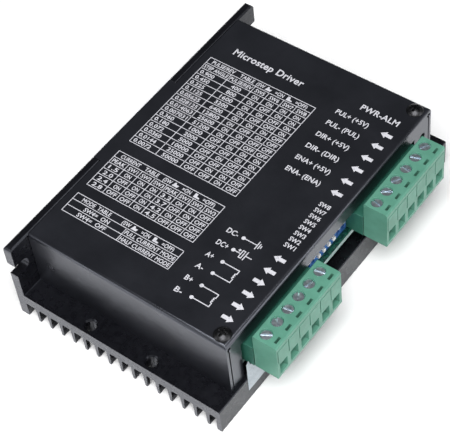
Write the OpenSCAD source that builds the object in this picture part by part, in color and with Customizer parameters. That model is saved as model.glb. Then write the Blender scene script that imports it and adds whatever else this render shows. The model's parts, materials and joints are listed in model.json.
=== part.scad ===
// Stepper driver module: finned aluminium heat sink with a bent sheet cover,
// a circuit board and two six-way pluggable screw terminal blocks.
// Millimetres. +X is the connector side, +Y runs along the fins, +Z is up.
// The origin is the centre of the four mounting holes, on the plane of the fin tips.

/* [Heat sink] */
// Length of the extrusion along the fins
base_l = 118; // [110:0.5:130]
// Width of the base plate
base_w = 75.5; // [74:0.5:80]
// Height of the left wall and of the cover's top face above the fin tips
body_h = 31.8; // [31:0.1:40]
// Height of the base plate's top face above the fin tips
deck_z = 10; // [9:0.5:10]
// Thickness of the base plate
plate_t = 3.9; // [3.5:0.1:4.5]
// Thickness of the left wall
wall_t = 3.05; // [2.8:0.05:3.1]
// Number of tapered fins between the two outer legs
fin_count = 15; // [8:1:15]
// Distance from one fin to the next
fin_pitch = 4.53; // [3.5:0.01:4.55]

/* [Mounting] */
// Distance between the two holes at one end
hole_pitch_x = 22.6; // [18:0.1:30]
// Distance from the holes at one end to those at the other, and between the side slots
hole_pitch_y = 112; // [106:0.5:114]
// Diameter of a mounting hole
hole_d = 3.5; // [3:0.1:4]
// Width of the open slots in the ends of the left wall
slot_w = 4.8; // [4:0.1:5]
// Height of the slots' centre line above the fin tips
slot_z = 21.8; // [18:0.1:24]

/* [Cover] */
// Length of the cover along Y
cover_l = 103.12; // [102:0.02:108]
// Thickness of the sheet
sheet_t = 1; // [0.8:0.1:1]
// Height of the lip over the connectors
lip_h = 5.8; // [5:0.1:6.5]
// Length of the tab that rests on the left wall
tab_l = 36.8; // [20:0.1:50]

/* [Connectors] */
// Distance between neighbouring terminals
pitch = 5.08; // [5:0.01:5.08]
// Terminals on each plug
poles = 6; // [2:1:6]
// Place along Y of the power plug's first terminal
power_y0 = -40.75; // [-41:0.05:-40]
// Place along Y of the signal plug's first terminal
signal_y0 = 13.7; // [13.7:0.05:14]

/* [Hidden] */
$fn = 48;
eps = 0.01;

// Heat sink
left_x = -base_w / 2;
right_x = base_w / 2;
wall_x = left_x + wall_t;
plate_z = deck_z - plate_t;
fin_root_t = 1.5;
fin_tip_t = 0.95;
tip_chamfer = 0.3;
first_fin_x = -30.35;
leg_t = 1.7;
tap_depth = 2.8;
wall_tap_depth = 2.2;
tab_gap = 0.2;
wall_round = 1.2;
wall_chamfer = 0.5;
wall_corner_r = 1.6;
countersink_w = 0.4;

// Circuit board, standing on four spacers
board_z = 14.1;
board_t = 1.6;
board_top = board_z + board_t;
board_x0 = -34.2;
board_x1 = 35.1;
board_l = 100;
stud_r = 1.45;
thread_r = 1.5;
post_r = 2.2;
pillar_r = 1.9;
pillar_stud_r = 1.2;
pillar_thread_r = 1.25;
pillar_x = 33;
pillar_y = 48.2;
post_x = -24;
post_y = 46;

// Cover
cover_x0 = -34.6;
cover_x1 = 36.5;
bend_r = 1.3;
front_wing_y = -45.4;
back_wing_y = 42.4;
seam_w = 0.4;
relief_r = 0.75;
relief_drop = 2.1;
screw_hole_r = 1.7;
screw_head_r = 2.7;
screw_head_h = 1.4;

// Board headers and plugs
header_x0 = 27.2;
header_x1 = 39.1;
header_h = 8.6;
header_wall = 1.1;
header_margin = 2.95;
header_end_t = 0.85;
pin_z = 19.7;
pin_w = 1;
pin_x0 = 28.2;
pin_x1 = 37;
plug_x0 = 39.3;
plug_x1 = 47.35;
plug_z0 = 15.75;
plug_z1 = 30.3;
plug_margin = 2.8;
plug_gap = 0.2;
terminal_x = 42.1;
chamber_w = 4.1;
chamber_x0 = 40.2;
chamber_x1 = 44;
chamber_z0 = 16.3;
chamber_z1 = 26.5;
bar_z0 = 20.9;
bar_z1 = 21.6;
head_r = 1.75;
head_seat_z = 27.2;
head_z0 = 27.3;
head_z1 = 29.8;
shank_r = 1.4;
cage_w = 3.8;
cage_x0 = 40.4;
cage_x1 = 43.8;
cage_z0 = 16.4;
cage_z1 = 23.75;
cage_hole_r = 1.48;
test_slot_x0 = 45.4;
test_slot_x1 = 46.25;
test_slot_w = 2.3;
test_slot_depth = 2.5;
socket_x0 = 31;
socket_x1 = 38.2;
socket_z0 = 18.5;
socket_w = 2.6;
socket_bore_w = 1.2;
bar_w = 2.3;
window_w = 3;
window_z0 = 17.2;
window_z1 = 21.75;
signal_slot_angles = [164, 35, 62, 174, 18, 58];
power_slot_angles = [32, 142, 8, 125, 79, 12];

// Eight-way switch
dip_x0 = 27;
dip_x1 = 33.2;
dip_l = 21.2;
dip_h = 8;
dip_pitch = 2.54;
lever_travel = 2.6;
lever_low_z = 17.9;
lever_w = 1.1;
lever_h = 1.3;
lever_out = 0.6;
lever_up = [true, true, false, false, false, false, true, true];

// Power stage, held against the left wall
pad_t = 0.3;
fet_w = 10;
fet_t = 4.6;
fet_tab_t = 1.3;
lead_pitch = 2.54;
fet_z0 = 17;
fet_h = 11;
fet_ys = [for (side = [-1, 1], i = [0:3]) side * (8.4 + 10.4 * i)];
fet_x0 = wall_x + pad_t;
bar_t = 1.5;
bar_l = 99;
rail_z0 = 20;
rail_z1 = 25;
small_head_r = 2.5;
small_head_h = 1.5;
bar_screw_ys = [-47, 0, 47];
bar_screw_z = 22.5;

// Status lamp behind its hole in the cover
lamp_x0 = 30.5;
lamp_y = 45.2;
lamp_z = 23.1;
lamp_r = 1;
lamp_l = 3.8;
lamp_flange = 0.3;
lamp_lead_w = 0.5;
lamp_lead_x = 29.3;
lamp_hole_y = 46.7;
lamp_hole_r = 1.5;

opto_ys = [16, 26, 36];
driver_ys = [-27, -9, 9, 27];

// A box from its two opposite corners
module box(a, b) {
    translate(a) cube(b - a);
}

// A cylinder along +X
module rod_x(r, l) {
    rotate([0, 90, 0]) cylinder(r = r, h = l);
}

function terminal_y(y0, i) = y0 + pitch * i;
function last_y(y0) = terminal_y(y0, poles - 1);
function dip_y(i) = dip_pitch * (i - 3.5);

// ---------- heat sink ----------

// One tapered fin, from its left root round the tip to its right root
function fin_points(x) = [
    [x - fin_root_t / 2, plate_z], [x - fin_tip_t / 2, tip_chamfer],
    [x - fin_tip_t / 2 + tip_chamfer, 0], [x + fin_tip_t / 2 - tip_chamfer, 0],
    [x + fin_tip_t / 2, tip_chamfer], [x + fin_root_t / 2, plate_z]];

// The whole section is one outline, so that the extrusion is one solid
module heatsink_outline() {
    polygon(concat(
        [[left_x, 0], [wall_x, 0], [wall_x, plate_z]],
        [for (i = [0:fin_count - 1]) each fin_points(first_fin_x + fin_pitch * i)],
        [[right_x - leg_t, plate_z], [right_x - leg_t, 0], [right_x, 0], [right_x, deck_z],
         [wall_x, deck_z], [wall_x, body_h - wall_chamfer], [wall_x - wall_chamfer, body_h],
         [left_x + wall_round, body_h], [left_x, body_h - wall_round]]));
    translate([left_x + wall_round, body_h - wall_round]) circle(wall_round);
}

module mounting_holes() {
    for (x = [-1, 1] * hole_pitch_x / 2, y = [-1, 1] * hole_pitch_y / 2) {
        translate([x, y, -1]) cylinder(d = hole_d, h = deck_z + 2);
        translate([x, y, deck_z - countersink_w])
            cylinder(d1 = hole_d, d2 = hole_d + 2 * countersink_w + 0.02, h = countersink_w + eps);
    }
}

module side_slots() {
    for (side = [-1, 1]) {
        translate([left_x - 1, side * hole_pitch_y / 2, slot_z]) rod_x(slot_w / 2, wall_t + 2);
        translate([left_x - 1, side * (hole_pitch_y / 2 + 5) - 5, slot_z - slot_w / 2])
            cube([wall_t + 2, 10, slot_w]);
    }
}

// What is taken off the top corner at each end of the left wall
module wall_corners() {
    r = wall_corner_r;
    for (side = [-1, 1]) translate([left_x - 1, side * (base_l / 2 - r), body_h - r]) difference() {
        translate([0, side > 0 ? 0 : -r - 1, 0]) cube([wall_t + 2, r + 1, r + 1]);
        translate([-1, 0, 0]) rod_x(r, wall_t + 4);
    }
}

module heatsink() {
    color([0.12, 0.12, 0.13]) difference() {
        rotate([90, 0, 0]) linear_extrude(base_l, center = true) heatsink_outline();
        mounting_holes();
        side_slots();
        wall_corners();
        box([left_x - 1, -tab_l / 2 - tab_gap, body_h - sheet_t],
            [wall_x + 1, tab_l / 2 + tab_gap, body_h + 1]);
        for (p = spacer_places()) translate([p[0], p[1], deck_z - tap_depth]) cylinder(r = thread_r, h = 4);
        for (y = bar_screw_ys) translate([wall_x - wall_tap_depth, y, bar_screw_z]) rod_x(thread_r, 4);
    }
}

// ---------- cover ----------

// Front view of the cover's outside, or of its inside with the sheet taken off
module bent_outline(w, top, r) {
    translate([-w / 2, 0]) square([w, top - r]);
    translate([-w / 2 + r, 0]) square([w - 2 * r, top]);
    for (side = [-1, 1]) translate([side * (w / 2 - r), top - r]) circle(r);
}

module bent_side_outline(x0, x1, top, r) {
    translate([x0, 0]) square([x1 - x0, top - r]);
    translate([x0, 0]) square([x1 - x0 - r, top]);
    translate([x1 - r, top - r]) circle(r);
}

// A block with the three bends of the sheet along its top edges
module bent_block(x0, x1, w, top, r) {
    intersection() {
        translate([x0, 0, 0]) rotate([90, 0, 90]) linear_extrude(x1 - x0) bent_outline(w, top, r);
        rotate([90, 0, 0]) linear_extrude(w, center = true) bent_side_outline(x0, x1, top, r);
    }
}

module top_cover() {
    inner_w = cover_l - 2 * sheet_t;
    color([0.11, 0.11, 0.13]) {
        difference() {
            bent_block(cover_x0, cover_x1, cover_l, body_h, bend_r);
            bent_block(cover_x0 - 1, cover_x1 - sheet_t, inner_w, body_h - sheet_t, bend_r - sheet_t);
            box([cover_x0 - 1, -cover_l, -1], [cover_x1 + 1, cover_l, deck_z]);
            box([cover_x1 - 2, front_wing_y, 0], [cover_x1 + 1, back_wing_y, body_h - lip_h]);
            translate([cover_x1 - 2, lamp_hole_y, lamp_z]) rod_x(lamp_hole_r, 3);
            for (side = [-1, 1]) {
                translate([cover_x1 - sheet_t - 0.3, side * (inner_w / 2 - seam_w / 2) - seam_w / 2, 0])
                    cube([2, seam_w, body_h - relief_drop - 0.1]);
                translate([cover_x1 - sheet_t - 0.3, side * (inner_w / 2 - 0.3), body_h - relief_drop])
                    rod_x(relief_r, 2);
                translate([pillar_x, side * pillar_y, 0]) cylinder(r = screw_hole_r, h = body_h + 1);
            }
        }
        box([left_x + 0.5, -tab_l / 2, body_h - sheet_t], [cover_x0 + eps, tab_l / 2, body_h]);
    }
}

// A pan head with a cross recess, its underside at z = 0, on a shank that points down
module cross_screw(r, h, shank, shank_l) {
    dome_r = (r * r + h * h) / (2 * h);
    difference() {
        intersection() {
            translate([0, 0, h - dome_r]) sphere(dome_r);
            cylinder(r = r + 1, h = h + 1);
        }
        for (a = [0, 90]) rotate(a) translate([-r * 0.55, -0.35, h * 0.35]) cube([r * 1.1, 0.7, h]);
    }
    translate([0, 0, -shank_l]) cylinder(r = shank, h = shank_l + 0.1);
}

module cover_screws() {
    color([0.13, 0.13, 0.14]) for (side = [-1, 1])
        translate([pillar_x, side * pillar_y, body_h])
            cross_screw(screw_head_r, screw_head_h, pillar_stud_r, 7);
}

// ---------- board and its posts ----------

function spacer_places() = [[pillar_x, -pillar_y], [pillar_x, pillar_y], [post_x, -post_y], [post_x, post_y]];

module board_spacers() {
    color([0.78, 0.66, 0.35]) for (p = spacer_places()) translate([p[0], p[1], 0]) difference() {
        union() {
            translate([0, 0, deck_z]) cylinder(r = post_r, h = board_z - deck_z);
            translate([0, 0, deck_z - 2.6]) cylinder(r = stud_r, h = 3);
        }
        translate([0, 0, board_z - 3]) cylinder(r = thread_r, h = 4);
    }
}

module cover_pillars() {
    color([0.8, 0.8, 0.8]) for (side = [-1, 1]) translate([pillar_x, side * pillar_y, 0]) difference() {
        union() {
            translate([0, 0, board_top]) cylinder(r = pillar_r, h = body_h - sheet_t - board_top);
            translate([0, 0, board_z - 2.5]) cylinder(r = stud_r, h = 5);
        }
        translate([0, 0, body_h - sheet_t - 8]) cylinder(r = pillar_thread_r, h = 9);
    }
}

module board_screws() {
    color([0.75, 0.75, 0.76]) for (side = [-1, 1])
        translate([post_x, side * post_y, board_top]) cross_screw(small_head_r, small_head_h, stud_r, 4);
}

module lead_holes() {
    for (y0 = [signal_y0, power_y0], i = [0:poles - 1])
        translate([pin_x0 - 0.1, terminal_y(y0, i) - 0.6, board_z - 1]) cube([1.2, 1.2, board_t + 2]);
    for (i = [0:7], x = [dip_x0 + 1.2, dip_x0 + 3.74])
        translate([x, dip_y(i), board_z - 1]) cylinder(r = 0.4, h = board_t + 2);
    for (y = fet_ys, s = [-1:1])
        translate([fet_x0 + fet_t / 2, y + lead_pitch * s, board_z - 1]) cylinder(r = 0.65, h = board_t + 2);
    for (p = capacitor_places(), s = [-1, 1])
        translate([p[0] + 2.5 * s, p[1], board_z - 1]) cylinder(r = 0.5, h = board_t + 2);
    for (s = [-1, 1])
        translate([lamp_lead_x, lamp_y + lead_pitch / 2 * s, board_z - 1]) cylinder(r = 0.5, h = 4);
}

module circuit_board() {
    color([0.05, 0.3, 0.2]) difference() {
        box([board_x0, -board_l / 2, board_z], [board_x1, board_l / 2, board_top]);
        for (p = spacer_places()) translate([p[0], p[1], board_z - 1]) cylinder(r = 1.6, h = board_t + 2);
        lead_holes();
    }
}

// ---------- board headers ----------

module header(y0) {
    z1 = board_top + header_h;
    ya = y0 - header_margin;
    yb = last_y(y0) + header_margin;
    color([0.2, 0.5, 0.4]) difference() {
        box([header_x0, ya, board_top], [header_x1, yb, z1]);
        box([header_x0 + 2, ya + header_end_t, board_top + header_wall],
            [header_x1 + 1, yb - header_end_t, z1 - header_wall]);
        for (i = [0:poles - 1]) translate([0, terminal_y(y0, i), 0]) {
            box([pin_x0, -pin_w / 2, board_top - 1], [pin_x0 + pin_w, pin_w / 2, pin_z + pin_w / 2]);
            box([pin_x0, -pin_w / 2, pin_z - pin_w / 2], [header_x0 + 3, pin_w / 2, pin_z + pin_w / 2]);
            box([header_x1 - 2.2, -1.2, z1 - header_wall - 1], [header_x1 + 1, 1.2, z1 - 0.5]);
        }
    }
}

module header_pins(y0) {
    color([0.8, 0.78, 0.7]) for (i = [0:poles - 1]) translate([0, terminal_y(y0, i), 0]) {
        box([pin_x0, -pin_w / 2, board_z - 1.8], [pin_x0 + pin_w, pin_w / 2, pin_z + pin_w / 2]);
        box([pin_x0, -pin_w / 2, pin_z - pin_w / 2], [pin_x1, pin_w / 2, pin_z + pin_w / 2]);
    }
}

module signal_header() { header(signal_y0); }
module power_header() { header(power_y0); }
module signal_header_pins() { header_pins(signal_y0); }
module power_header_pins() { header_pins(power_y0); }

// ---------- pluggable terminal blocks ----------

// Side view of the plug's outer block
module plug_outline() {
    chamfer = 0.45;
    polygon([[plug_x0, plug_z0], [plug_x1 - 0.3, plug_z0], [plug_x1, plug_z0 + 0.3],
             [plug_x1, plug_z1 - chamfer], [plug_x1 - chamfer, plug_z1],
             [plug_x0 + 0.25, plug_z1], [plug_x0, plug_z1 - 0.25]]);
}

// A wire entry that narrows inwards from the plug's front face
module wire_entry() {
    mouth_w = 3.5;
    throat_w = 3;
    mouth = [17.3, 21.8];
    throat = [17.6, 21.3];
    depth = 1.2;
    xs = [plug_x1 + eps, plug_x1 - depth];
    ws = [mouth_w, throat_w] / 2;
    zs = [mouth, throat];
    polyhedron(
        points = [for (k = [0, 1], c = [[-1, 0], [1, 0], [1, 1], [-1, 1]]) [xs[k], c[0] * ws[k], zs[k][c[1]]]],
        faces = [[0, 3, 2, 1], [4, 5, 6, 7], [0, 1, 5, 4], [1, 2, 6, 5], [2, 3, 7, 6], [3, 0, 4, 7]]);
    box([chamber_x1 - 0.5, -throat_w / 2, throat[0]], [xs[1] + 0.1, throat_w / 2, throat[1]]);
}

// Thin grooves that frame the panel above each wire entry
module panel_groove() {
    groove = 0.3;
    panel_z0 = 22.7;
    panel_z1 = 28.5;
    panel_y0 = -2.4;
    panel_w = 4.6;
    box([plug_x1 - groove, panel_y0, panel_z0], [plug_x1 + 1, panel_y0 + groove, panel_z1]);
    box([plug_x1 - groove, panel_y0, panel_z1 - groove], [plug_x1 + 1, panel_y0 + panel_w, panel_z1]);
}

module plug(y0) {
    inset = header_end_t + plug_gap;
    ya = y0 - header_margin + inset;
    yb = last_y(y0) + header_margin - inset;
    tongue_z0 = board_top + header_wall + plug_gap;
    tongue_z1 = board_top + header_h - header_wall - plug_gap;
    color([0.4, 0.72, 0.56]) difference() {
        union() {
            translate([0, last_y(y0) + plug_margin, 0]) rotate([90, 0, 0])
                linear_extrude(last_y(y0) - y0 + 2 * plug_margin) plug_outline();
            box([header_x0 + 2.3, ya, tongue_z0], [plug_x0 + 1, yb, tongue_z1]);
        }
        for (i = [0:poles - 1]) translate([0, terminal_y(y0, i), 0]) {
            box([header_x0 + 1, -socket_w / 2, socket_z0], [chamber_x0 + 0.5, socket_w / 2, bar_z1]);
            box([chamber_x0, -chamber_w / 2, chamber_z0], [chamber_x1, chamber_w / 2, chamber_z1]);
            translate([terminal_x, 0, chamber_z1 - 1]) cylinder(r = 1.6, h = 3);
            translate([terminal_x, 0, head_seat_z]) cylinder(r = head_r + 0.12, h = 5);
            box([test_slot_x0, -test_slot_w / 2, plug_z1 - test_slot_depth],
                [test_slot_x1, test_slot_w / 2, plug_z1 + 1]);
            wire_entry();
            panel_groove();
        }
    }
}

// Sockets that grip the header pins, each with the bar that the wire is pressed against
module contacts(y0) {
    color([0.82, 0.74, 0.5]) for (i = [0:poles - 1]) translate([0, terminal_y(y0, i), 0]) {
        difference() {
            box([socket_x0, -socket_w / 2, socket_z0], [socket_x1, socket_w / 2, bar_z0 + eps]);
            box([socket_x0 - 1, -socket_bore_w / 2, pin_z - socket_bore_w / 2],
                [socket_x1 + 1, socket_bore_w / 2, pin_z + socket_bore_w / 2]);
        }
        box([socket_x0, -bar_w / 2, bar_z0], [chamber_x1 - 0.1, bar_w / 2, bar_z1]);
    }
}

// Slotted screw that turns in place
module terminal_screw(y0, i, slot_angle) {
    slot_t = 0.6;
    color([0.72, 0.73, 0.76]) translate([terminal_x, terminal_y(y0, i), 0]) {
        difference() {
            union() {
                translate([0, 0, head_z0]) cylinder(r = head_r, h = head_z1 - head_z0 - 0.2);
                translate([0, 0, head_z1 - 0.2 - eps]) cylinder(r1 = head_r, r2 = head_r - 0.2, h = 0.2 + eps);
            }
            translate([0, 0, head_z1]) rotate(slot_angle) cube([5, slot_t, 1.8], center = true);
        }
        translate([0, 0, bar_z1 + 0.05]) cylinder(r = shank_r, h = head_z0 - bar_z1);
    }
}

// Cage that the screw lifts, so that its floor presses the wire up against the bar
module wire_clamp(y0, i) {
    color([0.7, 0.71, 0.74]) translate([0, terminal_y(y0, i), 0]) difference() {
        box([cage_x0, -cage_w / 2, cage_z0], [cage_x1, cage_w / 2, cage_z1]);
        box([cage_x0 - 1, -window_w / 2, window_z0], [cage_x1 + 1, window_w / 2, window_z1]);
        translate([terminal_x, 0, window_z1 - 1]) cylinder(r = cage_hole_r, h = 5);
    }
}

module signal_plug() { plug(signal_y0); }
module power_plug() { plug(power_y0); }
module signal_contacts() { contacts(signal_y0); }
module power_contacts() { contacts(power_y0); }
module signal_screw(i) { terminal_screw(signal_y0, i, signal_slot_angles[i]); }
module power_screw(i) { terminal_screw(power_y0, i, power_slot_angles[i]); }

// ---------- eight-way switch ----------

module dip_switch_body() {
    track_w = lever_w + 0.3;
    color([0.12, 0.33, 0.65]) difference() {
        box([dip_x0, -dip_l / 2, board_top], [dip_x1, dip_l / 2, board_top + dip_h]);
        for (i = [0:7]) translate([0, dip_y(i), 0])
            box([dip_x1 - 3, -track_w / 2, lever_low_z - lever_h / 2 - 0.2],
                [dip_x1 + 1, track_w / 2, lever_low_z + lever_travel + lever_h / 2 + 0.2]);
    }
}

module dip_switch_pins() {
    color([0.8, 0.8, 0.8]) for (i = [0:7], x = [dip_x0 + 1.2, dip_x0 + 3.74])
        translate([x, dip_y(i), board_z - 1.5]) cylinder(r = 0.3, h = board_t + 1.5);
}

module dip_lever(i) {
    z = lever_low_z + (lever_up[i] ? lever_travel : 0);
    color([0.95, 0.95, 0.95]) translate([0, dip_y(i), z])
        box([dip_x1 - 2.8, -lever_w / 2, -lever_h / 2], [dip_x1 + lever_out, lever_w / 2, lever_h / 2]);
}

// ---------- status lamp and label ----------

module status_lamp() {
    color([0.75, 0.9, 0.8]) union() {
        translate([lamp_x0, lamp_y, lamp_z]) rod_x(lamp_r + lamp_flange, 0.8);
        translate([lamp_x0, lamp_y, lamp_z]) rod_x(lamp_r, lamp_l);
        translate([lamp_x0 + lamp_l, lamp_y, lamp_z]) sphere(lamp_r - 0.02);
        for (s = [-1, 1]) translate([0, lamp_y + lead_pitch / 2 * s, 0]) {
            box([lamp_lead_x - lamp_lead_w / 2, -lamp_lead_w / 2, lamp_z - lamp_lead_w / 2],
                [lamp_x0 + 0.1, lamp_lead_w / 2, lamp_z + lamp_lead_w / 2]);
            box([lamp_lead_x - lamp_lead_w / 2, -lamp_lead_w / 2, board_z - 1.2],
                [lamp_lead_x + lamp_lead_w / 2, lamp_lead_w / 2, lamp_z + lamp_lead_w / 2]);
        }
    }
}

// Blank sticker on the right-hand side of the heat sink; its upper part stands free
module seal_label() {
    label_t = 0.12;
    color([0.93, 0.94, 0.95]) translate([right_x, 0, 0]) rotate([90, 0, 90]) linear_extrude(label_t)
        polygon([[-45.8, 4.5], [-33, 4.5], [-33, 15.4], [-43.9, 15.4], [-44.6, 18], [-45.6, 17]]);
}

// ---------- power stage and other parts on the board ----------

module power_transistors() {
    color([0.15, 0.15, 0.16]) for (y = fet_ys) translate([fet_x0, y, 0]) {
        box([0, -fet_w / 2, fet_z0], [fet_tab_t, fet_w / 2, fet_z0 + fet_h]);
        box([fet_tab_t - 0.1, -fet_w / 2, fet_z0], [fet_t, fet_w / 2, fet_z0 + fet_h - 1.5]);
        for (s = [-1:1]) translate([fet_t / 2, lead_pitch * s, board_z - 1.2]) cylinder(r = 0.45, h = 5);
    }
}

module transistor_clamp_bar() {
    x = fet_x0 + fet_t;
    color([0.7, 0.7, 0.72]) difference() {
        box([x, -bar_l / 2, rail_z0], [x + bar_t, bar_l / 2, rail_z1]);
        for (y = bar_screw_ys) translate([x - 1, y, bar_screw_z]) rod_x(screw_hole_r, 4);
    }
}

module clamp_bar_screws() {
    head_x = fet_x0 + fet_t + bar_t;
    color([0.75, 0.75, 0.76]) for (y = bar_screw_ys)
        translate([head_x, y, bar_screw_z]) rotate([0, 90, 0])
            cross_screw(small_head_r, small_head_h, stud_r, head_x - wall_x + 2);
}

module thermal_pad() {
    color([0.7, 0.72, 0.75]) difference() {
        box([wall_x, -bar_l / 2, fet_z0 - 0.8], [wall_x + pad_t, bar_l / 2, fet_z0 + fet_h + 0.8]);
        for (y = bar_screw_ys) translate([wall_x - 1, y, bar_screw_z]) rod_x(screw_hole_r, 4);
    }
}

function capacitor_places() = [[-9, -37], [6, -37]];

module bulk_capacitors() {
    can_r = 6.25;
    can_h = 13.5;
    color([0.12, 0.14, 0.2]) for (p = capacitor_places()) translate([p[0], p[1], board_top]) {
        cylinder(r = can_r, h = 1.6);
        translate([0, 0, 1.5]) cylinder(r = can_r - 0.3, h = 0.7);
        translate([0, 0, 2.1]) cylinder(r = can_r, h = can_h - 2.1);
        for (s = [-1, 1]) translate([2.5 * s, 0, -board_t - 1.2]) cylinder(r = 0.35, h = board_t + 1.5);
    }
}

// Moulded chip with a row of legs on two sides
module chip(l, w, h, legs, leg_pitch) {
    translate([-w / 2, -l / 2, 0.15]) cube([w, l, h]);
    for (side = [-1, 1], i = [0:legs - 1])
        translate([side * (w / 2 + 0.4), (i - (legs - 1) / 2) * leg_pitch, 0]) {
            translate([-0.5, -0.2, 0]) cube([1, 0.4, 0.3]);
            translate([-0.5 - side * 0.1, -0.2, 0.2]) cube([0.6, 0.4, h / 2]);
        }
}

module controller_chip() {
    color([0.13, 0.13, 0.14]) translate([2, 8, board_top]) {
        chip(12, 12, 1.4, 16, 0.65);
        rotate(90) chip(12, 12, 1.4, 16, 0.65);
    }
}

module gate_drivers() {
    color([0.13, 0.13, 0.14]) for (y = driver_ys) translate([-19, y, board_top]) chip(8.7, 3.9, 1.5, 7, 1.27);
}

module optocouplers() {
    color([0.14, 0.14, 0.15]) for (y = opto_ys) translate([19, y, board_top]) chip(6.4, 6, 3.4, 4, 1.5);
}

module shunt_resistors() {
    color([0.2, 0.2, 0.2]) for (y = [-18, -10], x = [-8, 2])
        translate([x - 3.15, y - 1.55, board_top]) cube([6.3, 3.1, 0.7]);
}

heatsink();
top_cover();
cover_screws();
cover_pillars();
circuit_board();
board_spacers();
board_screws();
signal_header();
power_header();
signal_header_pins();
power_header_pins();
signal_plug();
power_plug();
signal_contacts();
power_contacts();
for (i = [1:poles]) {
    signal_screw(i - 1);
    power_screw(i - 1);
    wire_clamp(signal_y0, i - 1);
    wire_clamp(power_y0, i - 1);
}
dip_switch_body();
dip_switch_pins();
for (i = [1:8]) {
    dip_lever(i - 1);
}
status_lamp();
seal_label();
power_transistors();
transistor_clamp_bar();
clamp_bar_screws();
thermal_pad();
bulk_capacitors();
shunt_resistors();
controller_chip();
gate_drivers();
optocouplers();
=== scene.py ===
import json
import math

import bmesh
import bpy
from mathutils import Matrix, Vector


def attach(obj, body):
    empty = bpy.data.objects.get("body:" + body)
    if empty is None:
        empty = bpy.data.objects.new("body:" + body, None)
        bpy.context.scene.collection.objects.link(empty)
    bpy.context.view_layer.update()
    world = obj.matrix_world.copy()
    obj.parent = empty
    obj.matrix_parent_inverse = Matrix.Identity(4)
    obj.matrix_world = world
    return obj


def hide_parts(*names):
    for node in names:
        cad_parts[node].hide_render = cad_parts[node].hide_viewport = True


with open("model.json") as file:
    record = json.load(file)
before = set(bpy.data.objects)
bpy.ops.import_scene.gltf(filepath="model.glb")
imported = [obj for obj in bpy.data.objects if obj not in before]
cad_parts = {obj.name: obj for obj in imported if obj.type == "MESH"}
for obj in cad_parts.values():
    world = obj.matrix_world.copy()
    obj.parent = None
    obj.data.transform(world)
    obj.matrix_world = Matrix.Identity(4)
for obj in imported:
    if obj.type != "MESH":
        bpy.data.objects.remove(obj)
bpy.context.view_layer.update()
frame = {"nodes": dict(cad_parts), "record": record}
NODES = frame["nodes"]
MM = 0.001
BASE = "base"


# ---------------------------------------------------------------- materials

NOISE_ROUGHNESS = 0.55
# a wave texture of scale 1 repeats each 0.314 of a unit
WAVE_PERIOD = 0.314
# how square a face must be to an axis to count as facing it
FACING_LIMIT = 0.9


class Look:
    """A node material whose patterns lie in object space, in metres."""

    def __init__(self, name):
        self.mat = bpy.data.materials.new(name)
        self.mat.use_nodes = True
        self.nodes = self.mat.node_tree.nodes
        self.links = self.mat.node_tree.links
        self.shader = self.nodes["Principled BSDF"]
        self.coords = self.nodes.new("ShaderNodeTexCoord").outputs["Object"]

    def set(self, **values):
        for key, value in values.items():
            self.shader.inputs[key.replace("_", " ")].default_value = value
        return self

    def link(self, output, key):
        self.links.new(output, self.shader.inputs[key])

    def stretched(self, stretch):
        if stretch == (1, 1, 1):
            return self.coords
        node = self.nodes.new("ShaderNodeMapping")
        node.inputs["Scale"].default_value = stretch
        self.links.new(self.coords, node.inputs["Vector"])
        return node.outputs["Vector"]

    def noise(self, size_mm, detail=3.0, stretch=(1, 1, 1)):
        node = self.nodes.new("ShaderNodeTexNoise")
        node.inputs["Scale"].default_value = 1 / (size_mm * MM)
        node.inputs["Detail"].default_value = detail
        node.inputs["Roughness"].default_value = NOISE_ROUGHNESS
        self.links.new(self.stretched(stretch), node.inputs["Vector"])
        return node.outputs["Fac"]

    def waves(self, pitch_mm, axis, distortion):
        node = self.nodes.new("ShaderNodeTexWave")
        node.bands_direction = axis
        node.inputs["Scale"].default_value = WAVE_PERIOD / (pitch_mm * MM)
        node.inputs["Distortion"].default_value = distortion
        node.inputs["Detail Scale"].default_value = 2.0
        self.links.new(self.coords, node.inputs["Vector"])
        return node.outputs["Fac"]

    def remap(self, value, low, high, start=0.0, end=1.0):
        node = self.nodes.new("ShaderNodeMapRange")
        keys = ("From Min", "From Max", "To Min", "To Max")
        for key, number in zip(keys, (start, end, low, high)):
            node.inputs[key].default_value = number
        self.links.new(value, node.inputs["Value"])
        return node.outputs["Result"]

    def tint(self, value, dark, light, start=0.3, end=0.7):
        node = self.nodes.new("ShaderNodeValToRGB")
        ramp = node.color_ramp
        ramp.elements[0].position, ramp.elements[0].color = start, (*dark, 1)
        ramp.elements[1].position, ramp.elements[1].color = end, (*light, 1)
        self.links.new(value, node.inputs["Fac"])
        return node.outputs["Color"]

    def math(self, kind, a, b):
        node = self.nodes.new("ShaderNodeMath")
        node.operation = kind
        for value, socket in zip((a, b), node.inputs):
            if isinstance(value, (int, float)):
                socket.default_value = value
            else:
                self.links.new(value, socket)
        return node.outputs["Value"]

    def mix(self, value, a, b):
        node = self.nodes.new("ShaderNodeMix")
        node.data_type = "RGBA"
        self.links.new(value, node.inputs[0])
        self.links.new(a, node.inputs[6])
        self.links.new(b, node.inputs[7])
        return node.outputs[2]

    def facing(self, axis):
        """1 where the surface faces along that axis, either way."""
        geo = self.nodes.new("ShaderNodeNewGeometry")
        split = self.nodes.new("ShaderNodeSeparateXYZ")
        self.links.new(geo.outputs["True Normal"], split.inputs[0])
        size = self.math("ABSOLUTE", split.outputs[axis], 0)
        return self.math("GREATER_THAN", size, FACING_LIMIT)

    def bump(self, height, depth_mm, strength=1.0):
        node = self.nodes.new("ShaderNodeBump")
        node.inputs["Strength"].default_value = strength
        node.inputs["Distance"].default_value = depth_mm * MM
        self.links.new(height, node.inputs["Height"])
        old = self.shader.inputs["Normal"]
        if old.is_linked:
            self.links.new(old.links[0].from_socket, node.inputs["Normal"])
        self.links.new(node.outputs["Normal"], old)


# tint of the glints on the black parts
COOL = (0.83, 0.87, 1.0, 1)


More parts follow.
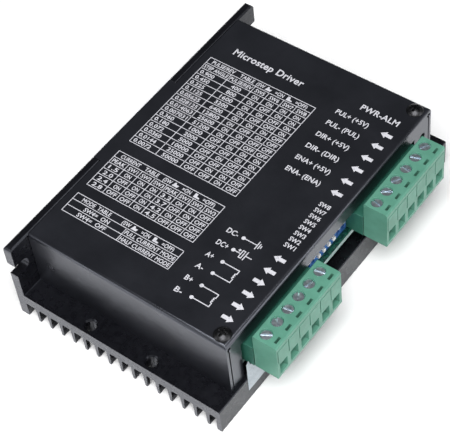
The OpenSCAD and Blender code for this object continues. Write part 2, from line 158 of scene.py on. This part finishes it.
def anodised():
    look = Look("black anodised extrusion").set(IOR=1.5, Specular_Tint=COOL)
    streaks = look.noise(0.35, 4, (1, 0.012, 1))
    cloud = look.noise(9, 4)
    body = look.tint(look.math("MULTIPLY", streaks, cloud), (0.0022, 0.0022, 0.0032),
                     (0.0055, 0.0055, 0.0072), 0.12, 0.42)
    saw = look.noise(0.3, 3, (0.05, 1, 1))
    sawn = look.tint(saw, (0.036, 0.037, 0.045), (0.074, 0.077, 0.090), 0.3, 0.7)
    look.link(look.mix(look.facing("Y"), body, sawn), "Base Color")
    look.link(look.remap(look.noise(2.5, 4), 0.22, 0.36, 0.3, 0.7), "Roughness")
    look.bump(streaks, 0.02, 0.6)
    look.bump(look.noise(0.12, 2), 0.006, 0.5)
    return look.mat


def powder_paint():
    look = Look("fine black texture paint").set(IOR=2.05, Specular_Tint=COOL)
    grain = look.noise(0.22, 3)
    cloud = look.noise(14, 3)
    colour = look.tint(look.math("MULTIPLY", grain, cloud), (0.0030, 0.0031, 0.0044),
                       (0.0062, 0.0064, 0.0086), 0.15, 0.38)
    look.link(colour, "Base Color")
    look.link(look.remap(cloud, 0.27, 0.34, 0.3, 0.7), "Roughness")
    look.bump(grain, 0.012, 0.5)
    return look.mat


def moulded(name, dark, light, rough=(0.38, 0.5), shine=0.5):
    look = Look(name).set(IOR=1.5, Specular_IOR_Level=shine)
    look.link(look.tint(look.noise(5, 4), dark, light), "Base Color")
    look.link(look.remap(look.noise(1.3, 3), rough[0], rough[1], 0.3, 0.7), "Roughness")
    look.bump(look.noise(0.3, 2), 0.008, 0.5)
    return look.mat


def metal(name, dark, light, rough=(0.22, 0.38), brushed=(1, 1, 1)):
    look = Look(name).set(Metallic=1.0)
    wear = look.noise(0.8, 5, brushed)
    look.link(look.tint(wear, dark, light), "Base Color")
    look.link(look.remap(wear, rough[0], rough[1], 0.3, 0.7), "Roughness")
    look.bump(look.noise(0.15, 3, brushed), 0.01, 0.5)
    return look.mat


def laminate():
    look = Look("solder mask").set(IOR=1.55)
    tracks = look.remap(look.waves(1.6, "X", 9.0), 0, 1, 0.42, 0.5)
    fibre = look.noise(0.5, 2, (1, 0.2, 1))
    mask = look.tint(tracks, (0.004, 0.032, 0.024), (0.010, 0.075, 0.045), 0.0, 1.0)
    edge = look.tint(fibre, (0.20, 0.30, 0.30), (0.40, 0.50, 0.48))
    side = look.math("MAXIMUM", look.facing("X"), look.facing("Y"))
    look.link(look.mix(side, mask, edge), "Base Color")
    look.link(look.remap(look.noise(2, 3), 0.2, 0.34, 0.3, 0.7), "Roughness")
    look.bump(tracks, 0.03, 0.7)
    return look.mat


def ink():
    look = Look("screen ink").set(IOR=1.45)
    worn = look.noise(0.5, 4)
    look.link(look.tint(worn, (0.34, 0.34, 0.38), (0.60, 0.60, 0.64), 0.25, 0.5), "Base Color")
    look.link(look.remap(worn, 0.5, 0.65, 0.3, 0.7), "Roughness")
    return look.mat


def label_film():
    look = Look("label film").set(IOR=1.48)
    fibre = look.noise(0.7, 5)
    smudge = look.noise(4, 3, (1, 0.4, 1))
    colour = look.tint(look.math("MULTIPLY", fibre, smudge), (0.30, 0.34, 0.38),
                       (0.44, 0.48, 0.52), 0.14, 0.3)
    look.link(colour, "Base Color")
    look.link(look.remap(fibre, 0.4, 0.6, 0.3, 0.7), "Roughness")
    look.bump(fibre, 0.01, 0.5)
    return look.mat


def lens():
    look = Look("lamp lens").set(IOR=1.5, Transmission_Weight=0.5)
    look.link(look.tint(look.noise(1.2, 3), (0.10, 0.42, 0.16), (0.22, 0.62, 0.28)), "Base Color")
    look.link(look.remap(look.noise(0.6, 2), 0.12, 0.25, 0.3, 0.7), "Roughness")
    return look.mat


def floor_look():
    look = Look("pale floor").set(IOR=1.3)
    colour = look.tint(look.noise(60, 3), (0.955, 0.955, 0.955), (0.975, 0.975, 0.975))
    look.link(colour, "Base Color")
    look.link(look.remap(look.noise(20, 2), 0.75, 0.85), "Roughness")
    return look.mat


LOOKS = {
    "black_anodised": anodised(),
    "cover_paint": powder_paint(),
    "black_steel": metal("black oxide steel", (0.025, 0.025, 0.027), (0.07, 0.07, 0.075),
                         (0.32, 0.45)),
    "board_laminate": laminate(),
    "plated_brass": metal("nickel on brass", (0.52, 0.44, 0.26), (0.80, 0.72, 0.50)),
    "tinned_pin": metal("tin plating", (0.55, 0.54, 0.52), (0.82, 0.81, 0.78), (0.2, 0.34)),
    "header_green": moulded("header green", (0.018, 0.105, 0.072), (0.028, 0.135, 0.095)),
    "plug_green": moulded("plug green", (0.082, 0.232, 0.168), (0.108, 0.286, 0.212),
                          (0.28, 0.38), 0.22),
    "switch_blue": moulded("switch blue", (0.025, 0.105, 0.33), (0.035, 0.135, 0.40)),
    "lever_white": moulded("lever white", (0.74, 0.74, 0.73), (0.84, 0.84, 0.82)),
    "lamp_lens": lens(),
    "label_film": label_film(),
    "chip_black": moulded("chip epoxy", (0.012, 0.012, 0.013), (0.028, 0.028, 0.030), (0.5, 0.65)),
    "pad_grey": moulded("insulator pad", (0.20, 0.22, 0.25), (0.28, 0.30, 0.33), (0.6, 0.75)),
    "can_sleeve": moulded("capacitor sleeve", (0.010, 0.013, 0.040), (0.016, 0.020, 0.060),
                          (0.22, 0.32)),
    "bar_aluminium": metal("mill aluminium", (0.52, 0.52, 0.53), (0.74, 0.74, 0.75),
                           (0.3, 0.45), (1, 0.05, 1)),
    "zinc_steel": metal("zinc plated steel", (0.60, 0.68, 0.74), (0.84, 0.90, 0.96), (0.30, 0.42)),
}
INK = ink()
SLOTS = {row["node"]: row["material_slot"] for row in frame["record"]["subparts"]}
for node_name, cad in NODES.items():
    for material_slot in cad.material_slots:
        material_slot.material = LOOKS[SLOTS[node_name]]


# ---------------------------------------------------------------- mesh helpers

def mesh_object(name, verts, faces, material, body=BASE):
    mesh = bpy.data.meshes.new(name)
    mesh.from_pydata(verts, [], faces)
    mesh.validate()
    mesh.update()
    return place(name, mesh, material, body)


def place(name, mesh, material, body=BASE):
    mesh.materials.clear()
    mesh.materials.append(material)
    obj = bpy.data.objects.new(name, mesh)
    bpy.context.scene.collection.objects.link(obj)
    if body:
        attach(obj, body)
    return obj


def evaluated_mesh(obj):
    """The mesh that an object's modifiers or curve settings make."""
    graph = bpy.context.evaluated_depsgraph_get()
    return bpy.data.meshes.new_from_object(obj.evaluated_get(graph))


WELD_M = 2e-6
FLAT_ANGLE, BEVEL_ANGLE = math.radians(0.6), math.radians(35)
BEVEL_SEGMENTS = 2


def soften(node_name, width_mm):
    """Rounds the sharp edges of a CAD node with modifiers only."""
    obj = NODES[node_name]
    weld = obj.modifiers.new("weld", "WELD")
    weld.merge_threshold = WELD_M
    flat = obj.modifiers.new("flat", "DECIMATE")
    flat.decimate_type = "DISSOLVE"
    flat.angle_limit = FLAT_ANGLE
    bevel = obj.modifiers.new("bevel", "BEVEL")
    bevel.width = width_mm * MM
    bevel.segments = BEVEL_SEGMENTS
    bevel.limit_method = "ANGLE"
    bevel.angle_limit = BEVEL_ANGLE
    bevel.use_clamp_overlap = True
    bevel.harden_normals = False


# ---------------------------------------------------------------- heat sink

# the CAD part's own sizes, in millimetres
PLATE_Z, DECK_Z, TOP_Z = 6.1, 10.0, 31.8
LEFT, RIGHT, WALL = -37.75, 37.75, -34.7
HALF_L = 59.0
WALL_MID = -36.2
WALL_CORNER_R = 1.6
WALL_ROUND, WALL_CHAMFER, LEG_T = 1.2, 0.5, 1.7
EDGE, ROOT_FILLET = 0.25, 0.3
FIRST_FIN_X, FIN_PITCH, FIN_COUNT = -30.35, 4.53, 15
HOLE_X, HOLE_Y, HOLE_R, SINK_R = 11.3, 56, 1.75, 2.2
SLOT_Z, SLOT_W = 21.8, 4.8
STUD_PLACES = ((33, 48.2), (-24, 46))
BAR_SCREW_YS, BAR_SCREW_Z, THREAD_R = (-47, 0, 47), 22.5, 1.5
TAB_GAP_L, TAB_GAP_H = 37.2, 2
# the small fillet where the wall meets the deck
FOOT, FOOT_MID = 0.15, 0.05
# a fin's half thickness at its root and tip, and its ribs
FIN_ROOT, FIN_TIP, RIB_STEPS, RIB_DEPTH = 0.75, 0.475, 12, 0.13
RIB_TOP, RIB_BOTTOM = PLATE_Z - 0.35, 0.55
# lengths of the cutting rods and boxes, and where their middles lie
HOLE_ROD, HOLE_MID_Z = 16, 6
SINK_H, SINK_MID = 0.5, 0.24
TAP_ROD, STUD_MID, BAR_MID = 4, 0.8, 0.2
WALL_CUT, SLOT_REACH = 6, 10


def arc(cx, cz, r, start, end, steps=6):
    out = []
    for k in range(steps + 1):
        a = math.radians(start + (end - start) * k / steps)
        out.append((cx + r * math.cos(a), cz + r * math.sin(a)))
    return out


def fin(x):
    """Points of one ribbed fin, from its right root round the tip to its left root."""
    side = []
    for k in range(RIB_STEPS + 1):
        t = k / RIB_STEPS
        half = FIN_ROOT + (FIN_TIP - FIN_ROOT) * t
        z = RIB_TOP + (RIB_BOTTOM - RIB_TOP) * t
        side.append((half - (RIB_DEPTH if k % 2 else 0), z))
    right = [(x + FIN_ROOT + ROOT_FILLET, PLATE_Z)] + [(x + h, z) for h, z in side]
    nose = arc(x, FIN_TIP, FIN_TIP, 0, -180, 8)
    left = [(x - h, z) for h, z in reversed(side)] + [(x - FIN_ROOT - ROOT_FILLET, PLATE_Z)]
    return right + nose + left


def heat_sink_profile():
    leg = RIGHT - LEG_T
    pts = [(LEFT, EDGE), (LEFT, TOP_Z - WALL_ROUND)]
    pts += arc(LEFT + WALL_ROUND, TOP_Z - WALL_ROUND, WALL_ROUND, 180, 90)[1:]
    pts += [(WALL - WALL_CHAMFER, TOP_Z), (WALL, TOP_Z - WALL_CHAMFER), (WALL, DECK_Z + FOOT)]
    pts += [(WALL + FOOT_MID, DECK_Z + FOOT_MID), (WALL + FOOT, DECK_Z)]
    pts += [(RIGHT - EDGE, DECK_Z), (RIGHT, DECK_Z - EDGE), (RIGHT, EDGE), (RIGHT - EDGE, 0)]
    pts += [(leg + EDGE, 0), (leg, EDGE)]
    pts += [(leg, PLATE_Z - ROOT_FILLET), (leg - ROOT_FILLET, PLATE_Z)]
    for i in reversed(range(FIN_COUNT)):
        pts += fin(FIRST_FIN_X + FIN_PITCH * i)
    pts += [(WALL + ROOT_FILLET, PLATE_Z), (WALL, PLATE_Z - ROOT_FILLET), (WALL, EDGE)]
    pts += [(WALL - EDGE, 0), (LEFT + EDGE, 0)]
    return pts


def cutter(kind, size, at, turn=None, cone=None):
    """A box or a cylinder that is only used to cut, in millimetres."""
    bm = bmesh.new()
    if kind == "box":
        bmesh.ops.create_cube(bm, size=1, matrix=Matrix.Diagonal((*[s * MM for s in size], 1)))
    else:
        bmesh.ops.create_cone(bm, cap_ends=True, segments=48, radius1=size[0] * MM,
                              radius2=(cone or size[0]) * MM, depth=size[1] * MM)
    matrix = Matrix.Translation(Vector(at) * MM)
    if turn:
        matrix = matrix @ Matrix.Rotation(math.radians(90), 4, turn)
    bm.transform(matrix)
    mesh = bpy.data.meshes.new("cutter")
    bm.to_mesh(mesh)
    bm.free()
    obj = bpy.data.objects.new("cutter", mesh)
    bpy.context.scene.collection.objects.link(obj)
    return obj


def solid_mesh(name, verts, faces):
    """A closed mesh with its faces turned outwards."""
    mesh = bpy.data.meshes.new(name)
    mesh.from_pydata(verts, [], faces)
    bm = bmesh.new()
    bm.from_mesh(mesh)
    bmesh.ops.recalc_face_normals(bm, faces=bm.faces)
    bm.to_mesh(mesh)
    bm.free()
    return mesh


def plain_object(name, mesh):
    obj = bpy.data.objects.new(name, mesh)
    bpy.context.scene.collection.objects.link(obj)
    return obj


def corner_cutter(side):
    """What is taken off the top corner at one end of the left wall."""
    r = WALL_CORNER_R
    pts = [(r + 1, 0), (r + 1, r + 1), (0, r + 1)] + arc(0, 0, r, 90, 0, 10)
    n = len(pts)
    verts = [(x * MM, side * (HALF_L - r + y) * MM, (TOP_Z - r + z) * MM)
             for x in (LEFT - 1, WALL + 1) for y, z in pts]
    faces = [tuple(range(n)), tuple(reversed(range(n, 2 * n)))]
    faces += [(k, k + n, (k + 1) % n + n, (k + 1) % n) for k in range(n)]
    return plain_object("cutter", solid_mesh("cutter", verts, faces))


def cut(obj, cutters):
    for tool in cutters:
        mod = obj.modifiers.new("cut", "BOOLEAN")
        mod.operation = "DIFFERENCE"
        mod.solver = "EXACT"
        mod.object = tool
    baked = evaluated_mesh(obj)
    obj.modifiers.clear()
    obj.data = baked
    for tool in cutters:
        bpy.data.objects.remove(tool)


def build_heat_sink():
    pts = heat_sink_profile()
    count = len(pts)
    verts = [(x * MM, y * MM, z * MM) for y in (-HALF_L, HALF_L) for x, z in pts]
    faces = [(i, i + count, (i + 1) % count + count, (i + 1) % count) for i in range(count)]
    faces += [tuple(range(count)), tuple(range(2 * count - 1, count - 1, -1))]
    obj = plain_object("heat_sink", solid_mesh("heat_sink", verts, faces))
    tools = []
    for side in (-1, 1):
        y = HOLE_Y * side
        for x in (-HOLE_X, HOLE_X):
            tools.append(cutter("rod", (HOLE_R, HOLE_ROD), (x, y, HOLE_MID_Z)))
            tools.append(cutter("rod", (HOLE_R, SINK_H), (x, y, DECK_Z - SINK_MID), cone=SINK_R))
        tools.append(corner_cutter(side))
        tools.append(cutter("rod", (SLOT_W / 2, WALL_CUT), (WALL_MID, y, SLOT_Z), "Y"))
        tools.append(cutter("box", (WALL_CUT, SLOT_REACH, SLOT_W),
                            (WALL_MID, y + SLOT_REACH / 2 * side, SLOT_Z)))
        for x, stud_y in STUD_PLACES:
            tools.append(cutter("rod", (THREAD_R, TAP_ROD), (x, stud_y * side, DECK_Z - STUD_MID)))
    tools.append(cutter("box", (WALL_CUT, TAB_GAP_L, TAB_GAP_H), (WALL_MID, 0, TOP_Z)))
    for y in BAR_SCREW_YS:
        tools.append(cutter("rod", (THREAD_R, TAP_ROD), (WALL - BAR_MID, y, BAR_SCREW_Z), "Y"))
    cut(obj, tools)
    mesh = obj.data
    bpy.data.objects.remove(obj)
    obj = place("heat_sink", mesh, LOOKS["black_anodised"], BASE)
    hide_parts("heatsink")


build_heat_sink()


# ---------------------------------------------------------------- edges of the CAD pieces

soften("top_cover", 0.12)
for block in ("signal_plug", "power_plug"):
    soften(block, 0.12)
for block in ("signal_header", "power_header", "dip_switch_body"):
    soften(block, 0.15)
for side in ("signal", "power"):
    for i in range(1, 7):
        soften(f"{side}_screw_{i}", 0.08)
        soften(f"{side}_clamp_{i}", 0.12)
for i in range(1, 9):
    soften(f"dip_lever_{i}", 0.06)
soften("cover_screws", 0.12)


# ---------------------------------------------------------------- print on the cover

INK_LOW, INK_HIGH = TOP_Z - 0.01, TOP_Z + 0.03
# strokes that cross stand at different heights, so that no two faces share a plane
INK_LAYERS, INK_LAYER_T = 5, 0.002
glyph_cache = {}


def glyphs(text):
    """Mesh of a text in a font of size 1, as (vertices, faces, left edge, width)."""
    if text not in glyph_cache:
        curve = bpy.data.curves.new("glyphs", "FONT")
        curve.body = text
        curve.size = 1
        curve.offset = 0.018
        curve.extrude = 0.5
        curve.resolution_u = 3
        curve.space_character = 1.04
        obj = bpy.data.objects.new("glyphs", curve)
        bpy.context.scene.collection.objects.link(obj)
        mesh = evaluated_mesh(obj)
        verts = [tuple(v.co) for v in mesh.vertices]
        faces = [tuple(p.vertices) for p in mesh.polygons]
        bpy.data.objects.remove(obj)
        bpy.data.curves.remove(curve)
        bpy.data.meshes.remove(mesh)
        xs = [v[0] for v in verts]
        glyph_cache[text] = (verts, faces, min(xs), max(xs) - min(xs))
    return glyph_cache[text]


# height of a capital in a font of size 1
CAP = 0.73
RULE_W = 0.22
DOT_SIDES = 20


class Print:
    """Ink shapes on the cover's top face, gathered into one piece."""

    def __init__(self):
        self.verts, self.faces = [], []
        self.layer = 0

    def add(self, verts, faces):
        start = len(self.verts)
        self.verts += verts
        self.faces += [tuple(start + k for k in face) for face in faces]

    def text(self, text, x, y, height, width, centred=False):
        """Text that starts or is centred at x and is centred on y, its capitals that high."""
        verts, faces, left, natural = glyphs(text)
        k = height / CAP
        kx = width / natural
        x0 = x - natural * kx / 2 if centred else x
        y0 = y - height / 2
        out = []
        for vx, vy, vz in verts:
            z = INK_HIGH if vz > 0 else INK_LOW
            out.append(((x0 + (vx - left) * kx) * MM, (y0 + vy * k) * MM, z * MM))
        self.add(out, faces)

    def shape(self, pts):
        """A filled outline, given anticlockwise."""
        n = len(pts)
        self.layer = (self.layer + 1) % INK_LAYERS
        high = INK_HIGH + self.layer * INK_LAYER_T
        verts = [(x * MM, y * MM, z * MM) for z in (INK_LOW, high) for x, y in pts]
        faces = [tuple(reversed(range(n))), tuple(range(n, 2 * n))]
        faces += [(k, (k + 1) % n, n + (k + 1) % n, n + k) for k in range(n)]
        self.add(verts, faces)

    def line(self, x0, y0, x1, y1, w=RULE_W):
        dx, dy = x1 - x0, y1 - y0
        s = w / 2 / math.hypot(dx, dy)
        ax, ay, nx, ny = dx * s, dy * s, -dy * s, dx * s
        self.shape([(x0 - ax - nx, y0 - ay - ny), (x1 + ax - nx, y1 + ay - ny),
                    (x1 + ax + nx, y1 + ay + ny), (x0 - ax + nx, y0 - ay + ny)])

    def path(self, points, w):
        """One strip along several points, mitred where it turns."""
        sides = []
        for k, (x, y) in enumerate(points):
            ax, ay = points[max(k - 1, 0)]
            bx, by = points[min(k + 1, len(points) - 1)]
            s = w / 2 / math.hypot(bx - ax, by - ay)
            sides.append((x, y, (ay - by) * s, (bx - ax) * s))
        for p, q in zip(sides, sides[1:]):
            self.shape([(p[0] - p[2], p[1] - p[3]), (q[0] - q[2], q[1] - q[3]),
                        (q[0] + q[2], q[1] + q[3]), (p[0] + p[2], p[1] + p[3])])

    def dot(self, x, y, r):
        self.shape([(x + r * math.cos(a), y + r * math.sin(a))
                    for a in [2 * math.pi * k / DOT_SIDES for k in range(DOT_SIDES)]])

    def finish(self, name):
        obj = mesh_object(name, self.verts, self.faces, INK)


TEXT_H = 1.45
# the widest that a letter may be, and the room a cell leaves beside its text
LETTER_W, CELL_MARGINS = 1.16, 0.9
LEFT_LETTER_W, LEFT_MARGIN, LEFT_MARGINS = 1.04, 0.8, 1.4


def table(x0, x1, y0, y1, rows, columns, title):
    """A ruled table and the height of its heading.

    columns are the fractions where the upright rules stand, and a text that
    starts with < stands at the left of its cell.
    """
    page = Print()
    count = len(rows) + 1
    step = (y0 - y1) / count
    for k in range(count + 1):
        page.line(x0, y0 - step * k, x1, y0 - step * k)
    for x in (x0, x1):
        page.line(x, y0, x, y1)
    for f in columns[1:-1]:
        page.line(x0 + (x1 - x0) * f, y0 - step, x0 + (x1 - x0) * f, y1)
    heading_y = y0 - step / 2
    for text, at, width in title:
        page.text(text, x0 + at, heading_y, TEXT_H, width)
    for r, row in enumerate(rows):
        y = y0 - step * (r + 1.5)
        for c, text in enumerate(row):
            a, b = (x0 + (x1 - x0) * columns[c + k] for k in (0, 1))
            if text.startswith("<"):
                width = min(len(text[1:]) * LEFT_LETTER_W, b - a - LEFT_MARGINS)
                page.text(text[1:], a + LEFT_MARGIN, y, TEXT_H, width)
            else:
                width = min(len(text) * LETTER_W, b - a - CELL_MARGINS)
                page.text(text, (a + b) / 2, y, TEXT_H, width, centred=True)
    return page, heading_y


def on_off(bits):
    return ["ON" if b == "1" else "OFF" for b in bits]


# the legend's two little pictures of a switch lever
LEVER_ON = ((0, -0.75), (1.9, -0.75), (2.2, 0.1), (1.2, 0.1), (1.0, 0.7), (0.5, 0.7), (0.3, -0.1))
LEVER_OFF = ((0, -0.8), (2.0, -0.8), (2.0, -0.3), (1.1, -0.2), (0.9, 0.8), (0, 0.8))


def legend(page, x, y):
    page.text("(SW", x, y, TEXT_H, 3.0)
    page.shape([(x + 3.4 + px, y + py) for px, py in LEVER_ON])
    page.text("=ON", x + 7.0, y, TEXT_H, 3.1)
    page.shape([(x + 11.3 + px, y + py) for px, py in LEVER_OFF])
    page.text("=OFF)", x + 14.5, y, TEXT_H, 4.2)


STEPS = [("0.900", "400", "1111"), ("0.450", "800", "1011"), ("0.225", "1600", "1101"),
         ("0.1125", "3200", "1001"), ("0.05625", "6400", "1110"), ("0.028125", "12800", "1010"),
         ("0.014063", "25600", "1100"), ("0.007031", "51200", "1000"), ("0.360", "1000", "0111"),
         ("0.180", "2000", "0011"), ("0.072", "5000", "0101"), ("0.0360", "10000", "0001"),
         ("0.0144", "25000", "0110"), ("0.0072", "50000", "0010")]
step_rows = [["STEP ANGLE", "PULSE/REV", "SW5", "SW6", "SW7", "SW8"]]
step_rows += [["<" + a, n] + on_off(bits) for a, n, bits in STEPS]
page, heading = table(-32.0, 7.5, 33.0, -7.7, step_rows,
                      [0, 0.249, 0.481, 0.612, 0.751, 0.871, 1],
                      [("PULSE/REV", 1.7, 8.6), ("TABLE", 12.4, 5.2)])
legend(page, -13.4, heading)
page.finish("print_step_table")

CURRENTS = [("1.5", "111", "3.2", "110"), ("2.0", "011", "3.7", "010"),
            ("2.4", "101", "4.2", "100"), ("2.8", "001", "4.5", "000")]
current_rows = [["PEAK", "SW1", "SW2", "SW3"] * 2]
current_rows += [[a] + on_off(p) + [b] + on_off(q) for a, p, b, q in CURRENTS]
page, heading = table(-32.1, 7.2, -12.4, -27.7, current_rows,
                      [0, 0.149, 0.277, 0.4, 0.515, 0.643, 0.76, 0.879, 1],
                      [("CURRENT", 1.9, 7.2), ("TABLE", 11.0, 5.0)])
legend(page, -14.2, heading)
page.finish("print_current_table")

mode_rows = [["SW4=  ON", "FULL CURRENT MODE"], ["SW4=  OFF", "HALF CURRENT MODE"]]
page, heading = table(-32.2, 7.05, -31.6, -39.1, mode_rows, [0, 0.52, 1],
                      [("MODE  TABLE", 2.9, 10.6)])
legend(page, -14.3, heading)
page.finish("print_mode_table")

NAME_H = 1.85
# each name, its height on the cover and its width
SIGNAL_X, SIGNAL_NAMES = 13.4, (
    ("PUL+ (+5V)", 35.5, 11.4), ("PUL- (PUL)", 30.4, 11.4), ("DIR+ (+5V)", 25.1, 11.4),
    ("DIR- (DIR)", 19.8, 11.4), ("ENA+ (+5V)", 14.5, 12.0), ("ENA- (ENA)", 9.4, 12.0))
POWER_X, POWER_NAMES = 12.7, (
    ("DC-", -18.5, 3.9), ("DC+", -23.5, 3.9), ("A+", -28.5, 2.5),
    ("A-", -33.25, 2.5), ("B+", -38.25, 2.5), ("B-", -43.0, 2.5))
SWITCH_X, SWITCH_TOP_Y, SWITCH_PITCH, SWITCH_COUNT = 29.25, 3.5, 2.48, 8

page = Print()
page.text("Microstep Driver", -27.2, 39.1, 2.65, 26.1)
page.text("PWR-ALM", 18.8, 40.9, 2.25, 13.2)
for text, y, width in SIGNAL_NAMES:
    page.text(text, SIGNAL_X, y, NAME_H, width)
for i in range(SWITCH_COUNT):
    page.text(f"SW{SWITCH_COUNT - i}", SWITCH_X, SWITCH_TOP_Y - SWITCH_PITCH * i, 1.6, 3.7)
for text, y, width in POWER_NAMES:
    page.text(text, POWER_X, y, NAME_H, width)
page.finish("print_names")


def arrow(page, tip_x, y, way):
    """A block arrow; way is -1 for one that points to -X."""
    length, head, half, shaft = 3.9, 1.8, 1.3, 0.62
    pts = [(0, 0), (-head, -half), (-head, -shaft), (-length, -shaft),
           (-length, shaft), (-head, shaft), (-head, half)]
    out = [(tip_x + way * px, y + py) for px, py in pts]
    page.shape(out if way < 0 else list(reversed(out)))


IN_ARROW_X, IN_ARROW_YS = 29.3, (35.3, 30.2, 24.8, 19.7, 14.3, 9.1, -19.1, -24.0)
OUT_ARROW_X, OUT_ARROW_YS = 33.0, (-28.6, -33.6, -38.4, -43.25)

page = Print()
for y in IN_ARROW_YS:
    arrow(page, IN_ARROW_X, y, -1)
for y in OUT_ARROW_YS:
    arrow(page, OUT_ARROW_X, y, 1)
page.finish("print_arrows")

# wiring signs: earth, capacitor and two coils, each led to its dots
LINE = 0.3
DOT_X, DOT_R = 18.4, 0.62
EARTH_Y, EARTH_END_X = -18.6, 23.1
EARTH_BARS = ((23.2, 1.4), (23.9, 0.85), (24.5, 0.35))
CAPACITOR_Y, CAPACITOR_END_X = -23.5, 24.6
PLATE_LOW_Y, PLATE_HIGH_Y, PLATE_X0, PLATE_X1 = -24.8, -22.2, 21.0, 21.8
BAR_X, BAR_LOW_Y, BAR_HIGH_Y = 22.6, -25.0, -22.0
PLUS_X, PLUS_Y, PLUS_HALF = 20.1, -22.6, 0.3
COILS = ((-28.6, -33.25), (-38.3, -43.0))
COIL_X, COIL_INSET, COIL_TURNS = 24.3, 1.35, 3
HUMP_DEPTH, HUMP_STEPS = 1.5, 8

page = Print()
for y in (EARTH_Y, CAPACITOR_Y, *COILS[0], *COILS[1]):
    page.dot(DOT_X, y, DOT_R)
page.line(DOT_X, EARTH_Y, EARTH_END_X, EARTH_Y, LINE)
for x, half in EARTH_BARS:
    page.line(x, EARTH_Y - half, x, EARTH_Y + half, LINE)
page.line(DOT_X, CAPACITOR_Y, PLATE_X0 - 0.1, CAPACITOR_Y, LINE)
page.line(PLUS_X, PLUS_Y - PLUS_HALF, PLUS_X, PLUS_Y + PLUS_HALF, LINE)
page.line(PLUS_X - PLUS_HALF, PLUS_Y, PLUS_X + PLUS_HALF, PLUS_Y, LINE)
for x in (PLATE_X0, PLATE_X1):
    page.line(x, PLATE_LOW_Y, x, PLATE_HIGH_Y, LINE)
for y in (PLATE_LOW_Y, PLATE_HIGH_Y):
    page.line(PLATE_X0, y, PLATE_X1, y, LINE)
page.line(BAR_X, BAR_LOW_Y, BAR_X, BAR_HIGH_Y, LINE)
page.line(BAR_X, CAPACITOR_Y, CAPACITOR_END_X, CAPACITOR_Y, LINE)
for y0, y1 in COILS:
    for y in (y0, y1):
        page.line(DOT_X + DOT_R, y, COIL_X - LINE / 2, y, LINE)
    top, bottom = y0 - COIL_INSET, y1 + COIL_INSET
    radius = (top - bottom) / (2 * COIL_TURNS)
    page.line(COIL_X, y0, COIL_X, top, LINE)
    page.line(COIL_X, bottom, COIL_X, y1, LINE)
    for k in range(COIL_TURNS):
        cy = top - radius * (2 * k + 1)
        angles = [math.pi * j / HUMP_STEPS for j in range(HUMP_STEPS + 1)]
        page.path([(COIL_X - radius * HUMP_DEPTH * math.sin(a), cy + radius * math.cos(a))
                   for a in angles], LINE)
page.finish("print_wiring_signs")


# ---------------------------------------------------------------- stage, lights and camera

def area_light(name, at, aim, size, power):
    data = bpy.data.lights.new(name, "AREA")
    data.shape = "RECTANGLE"
    data.size, data.size_y = size
    data.energy = power
    obj = bpy.data.objects.new(name, data)
    obj.location = at
    obj.rotation_mode = "QUATERNION"
    obj.rotation_quaternion = (Vector(aim) - Vector(at)).to_track_quat("-Z", "Y")
    bpy.context.scene.collection.objects.link(obj)


def build_floor():
    half = 3.0
    corners = [(-half, -half, 0), (half, -half, 0), (half, half, 0), (-half, half, 0)]
    obj = mesh_object("floor", corners, [(0, 1, 2, 3)], floor_look(), body=None)


build_floor()
area_light("key", (0.26, -0.40, 0.91), (0, 0, 0), (0.7, 0.7), 14.5)
area_light("right", (0.95, 0.25, 0.45), (0.03, 0, 0.01), (0.8, 0.5), 3.0)
area_light("front_left", (-0.55, -0.85, 0.35), (0, 0, 0.015), (0.6, 0.4), 1.5)

world = bpy.data.worlds.new("studio")
world.use_nodes = True
background = world.node_tree.nodes["Background"]
background.inputs["Color"].default_value = (0.93, 0.96, 1.0, 1)
background.inputs["Strength"].default_value = 0.10
bpy.context.scene.world = world
bpy.context.scene.view_settings.view_transform = "Standard"
bpy.context.scene.view_settings.look = "None"

# the camera fitted to the photograph
AZIMUTH, ELEVATION, ROLL = (math.radians(a) for a in (42.43, 51.48, -7.39))
TARGET = Vector((0.39, -5.51, 15)) * MM
DISTANCE = 475.18 * MM
FOCAL_MM = 126.9
back = Vector((math.sin(AZIMUTH) * math.cos(ELEVATION),
               -math.cos(AZIMUTH) * math.cos(ELEVATION), math.sin(ELEVATION)))
level = (-back).cross(Vector((0, 0, 1))).normalized()
upward = level.cross(-back)
right = math.cos(ROLL) * level + math.sin(ROLL) * upward
up = math.cos(ROLL) * upward - math.sin(ROLL) * level
camera_data = bpy.data.cameras.new("camera")
camera_data.sensor_width = 36
camera_data.lens = FOCAL_MM
camera = bpy.data.objects.new("camera", camera_data)
bpy.context.scene.collection.objects.link(camera)
camera.matrix_world = Matrix.Translation(TARGET + back * DISTANCE) @ Matrix(
    [[right[k], up[k], back[k]] for k in range(3)]).to_4x4()
bpy.context.scene.camera = camera
